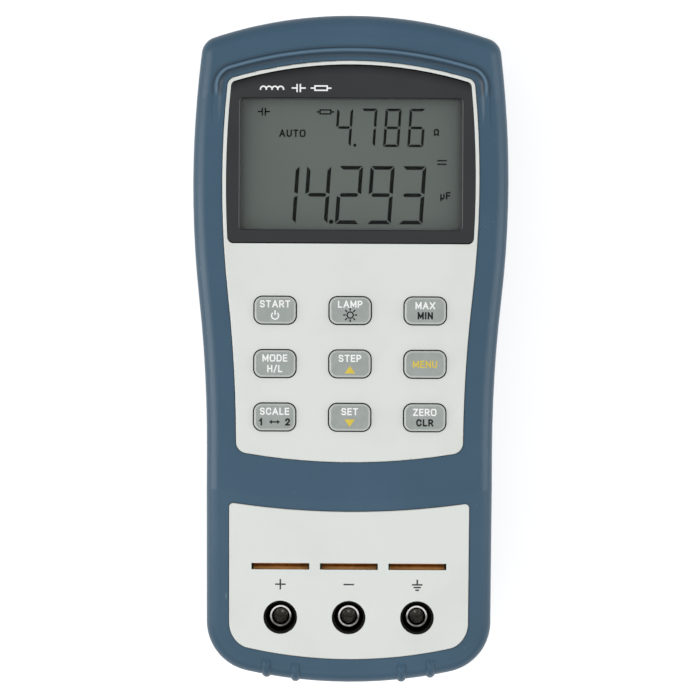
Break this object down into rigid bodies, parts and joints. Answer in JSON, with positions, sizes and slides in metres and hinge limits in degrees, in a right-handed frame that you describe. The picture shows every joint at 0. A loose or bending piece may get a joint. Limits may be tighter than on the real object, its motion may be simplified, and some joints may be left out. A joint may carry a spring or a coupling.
{
  "type": "component tester",
  "caption": "Handheld component tester: rubber-gripped case with a display window, keypad, component slots, plug sockets, flip-out tilt stand and a side port cover.",
  "frame": {"origin": "under the middle of the case, on the plane of its back", "axes": "+Z out of the front face, +Y towards the display end, +X to the right seen from the front"},
  "size_m": [0.0878, 0.1862, 0.0412],
  "materials": {
    "case_offwhite": "fine moulded texture",
    "grip_blue": "soft matte overmould",
    "window_pane": "tinted clear pane with a dark border",
    "lcd_glass": "reflective grey-green display",
    "light_guide": "frosted",
    "silicone_dark": "layered rubber",
    "silicone_pale": "soft silicone",
    "holder_white": "plain",
    "board_green": "solder mask",
    "chip_black": "moulded",
    "screw_steel": "zinc plated",
    "contact_copper": "bright spring strip",
    "battery_can": "satin",
    "jack_black": "moulded",
    "socket_metal": "nickel plated",
    "key_grey": "moulded cap"
  },
  "bodies": {
    "housing": {"front_shell": "case_offwhite", "rear_shell": "case_offwhite", "battery_door": "case_offwhite", "front_grip": "grip_blue", "rear_grip": "grip_blue", "display_window": "window_pane", "lcd_glass": "lcd_glass", "light_guide": "light_guide", "zebra_strips": "silicone_dark", "lcd_holder": "holder_white", "key_mat": "silicone_pale", "main_board": "board_green", "board_chips": "chip_black", "board_screws": "screw_steel", "case_screws": "screw_steel", "door_screw": "screw_steel", "slot_contacts": "contact_copper", "battery": "battery_can", "battery_clip": "jack_black", "usb_socket": "socket_metal", "jack_body_plus": "jack_black", "jack_sleeve_plus": "socket_metal", "jack_body_minus": "jack_black", "jack_sleeve_minus": "socket_metal", "jack_body_guard": "jack_black", "jack_sleeve_guard": "socket_metal"},
    "key_power": {"key_power": "key_grey"},
    "key_light": {"key_light": "key_grey"},
    "key_hold": {"key_hold": "key_grey"},
    "key_mode": {"key_mode": "key_grey"},
    "key_up": {"key_up": "key_grey"},
    "key_menu": {"key_menu": "key_grey"},
    "key_range": {"key_range": "key_grey"},
    "key_down": {"key_down": "key_grey"},
    "key_zero": {"key_zero": "key_grey"},
    "stand": {"tilt_stand": "case_offwhite"},
    "port_flap": {"port_cover": "grip_blue"}
  },
  "joints": [
    {"name": "key_power_press", "type": "slide", "parent": "housing", "child": "key_power", "axis": [0, 0, -1], "range_m": [0, 0.001], "stiffness_N_per_m": 400, "springref_m": -0.0015},
    {"name": "key_light_press", "type": "slide", "parent": "housing", "child": "key_light", "axis": [0, 0, -1], "range_m": [0, 0.001], "stiffness_N_per_m": 400, "springref_m": -0.0015},
    {"name": "key_hold_press", "type": "slide", "parent": "housing", "child": "key_hold", "axis": [0, 0, -1], "range_m": [0, 0.001], "stiffness_N_per_m": 400, "springref_m": -0.0015},
    {"name": "key_mode_press", "type": "slide", "parent": "housing", "child": "key_mode", "axis": [0, 0, -1], "range_m": [0, 0.001], "stiffness_N_per_m": 400, "springref_m": -0.0015},
    {"name": "key_up_press", "type": "slide", "parent": "housing", "child": "key_up", "axis": [0, 0, -1], "range_m": [0, 0.001], "stiffness_N_per_m": 400, "springref_m": -0.0015},
    {"name": "key_menu_press", "type": "slide", "parent": "housing", "child": "key_menu", "axis": [0, 0, -1], "range_m": [0, 0.001], "stiffness_N_per_m": 400, "springref_m": -0.0015},
    {"name": "key_range_press", "type": "slide", "parent": "housing", "child": "key_range", "axis": [0, 0, -1], "range_m": [0, 0.001], "stiffness_N_per_m": 400, "springref_m": -0.0015},
    {"name": "key_down_press", "type": "slide", "parent": "housing", "child": "key_down", "axis": [0, 0, -1], "range_m": [0, 0.001], "stiffness_N_per_m": 400, "springref_m": -0.0015},
    {"name": "key_zero_press", "type": "slide", "parent": "housing", "child": "key_zero", "axis": [0, 0, -1], "range_m": [0, 0.001], "stiffness_N_per_m": 400, "springref_m": -0.0015},
    {"name": "stand_hinge", "type": "hinge", "parent": "housing", "child": "stand", "pos_m": [0, 0.0626, 0.0031], "axis": [1, 0, 0], "range_deg": [0, 60]},
    {"name": "port_cover_hinge", "type": "hinge", "parent": "housing", "child": "port_flap", "pos_m": [-0.03975, -0.0476, 0.02095], "axis": [0, -1, 0], "range_deg": [0, 100]}
  ]
}
